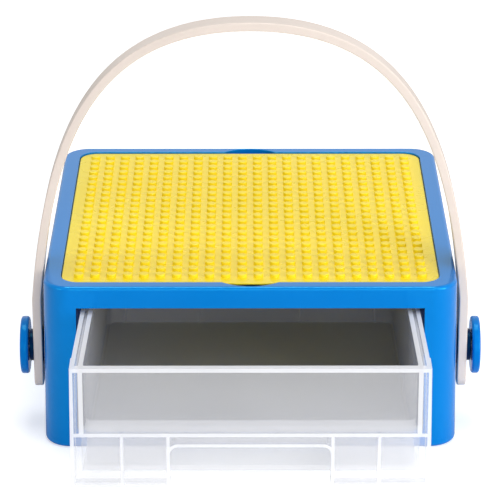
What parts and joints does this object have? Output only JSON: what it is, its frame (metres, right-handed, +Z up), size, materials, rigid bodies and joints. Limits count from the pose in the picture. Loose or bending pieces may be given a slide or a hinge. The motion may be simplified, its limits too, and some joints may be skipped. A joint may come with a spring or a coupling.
{
  "type": "storage case with drawer",
  "caption": "Square carry case with a studded building plate in its rim, a two-level drawer that slides out of the front, and a swinging strap handle on side knobs.",
  "frame": {"origin": "centre of the case's flat underside, on the surface the case stands on; the shell is centred on it in X and Y", "axes": "+Z up, +Y from the drawer front to the back, +X to the right as seen from the drawer front; rest pose as pictured: drawer pulled out, handle upright, plate seated"},
  "size_m": [0.229, 0.2647, 0.211],
  "materials": {
    "shell_blue": "glossy moulded",
    "inner_blue": "satin moulded",
    "bush_navy": "satin moulded",
    "knob_blue": "glossy moulded",
    "steel": "zinc plated",
    "frosted": "frosted translucent",
    "stud_yellow": "glossy moulded",
    "strap_cream": "satin moulded"
  },
  "bodies": {
    "housing": {"case_shell": "shell_blue", "case_base": "inner_blue", "base_screw_1": "steel", "base_screw_2": "steel", "base_screw_3": "steel", "base_screw_4": "steel", "guide_wall_left": "inner_blue", "guide_wall_right": "inner_blue", "pivot_bush_left": "bush_navy", "pivot_bush_right": "bush_navy", "knob_left": "knob_blue", "knob_right": "knob_blue", "pivot_washer_left": "steel", "pivot_washer_right": "steel", "pivot_screw_left": "steel", "pivot_screw_right": "steel"},
    "drawer": {"drawer_tub": "frosted"},
    "plate": {"building_plate": "stud_yellow"},
    "handle": {"handle_strap": "strap_cream"}
  },
  "joints": [
    {"name": "drawer_slide", "type": "slide", "parent": "housing", "child": "drawer", "axis": [0, -1, 0], "range_m": [-0.0649, 0.07]},
    {"name": "handle_swing", "type": "hinge", "parent": "housing", "child": "handle", "pos_m": [0, -0.066, 0.041], "axis": [1, 0, 0], "range_deg": [-18, 70]},
    {"name": "plate_lift", "type": "slide", "parent": "housing", "child": "plate", "axis": [0, 0, 1], "range_m": [0, 0.025]}
  ]
}
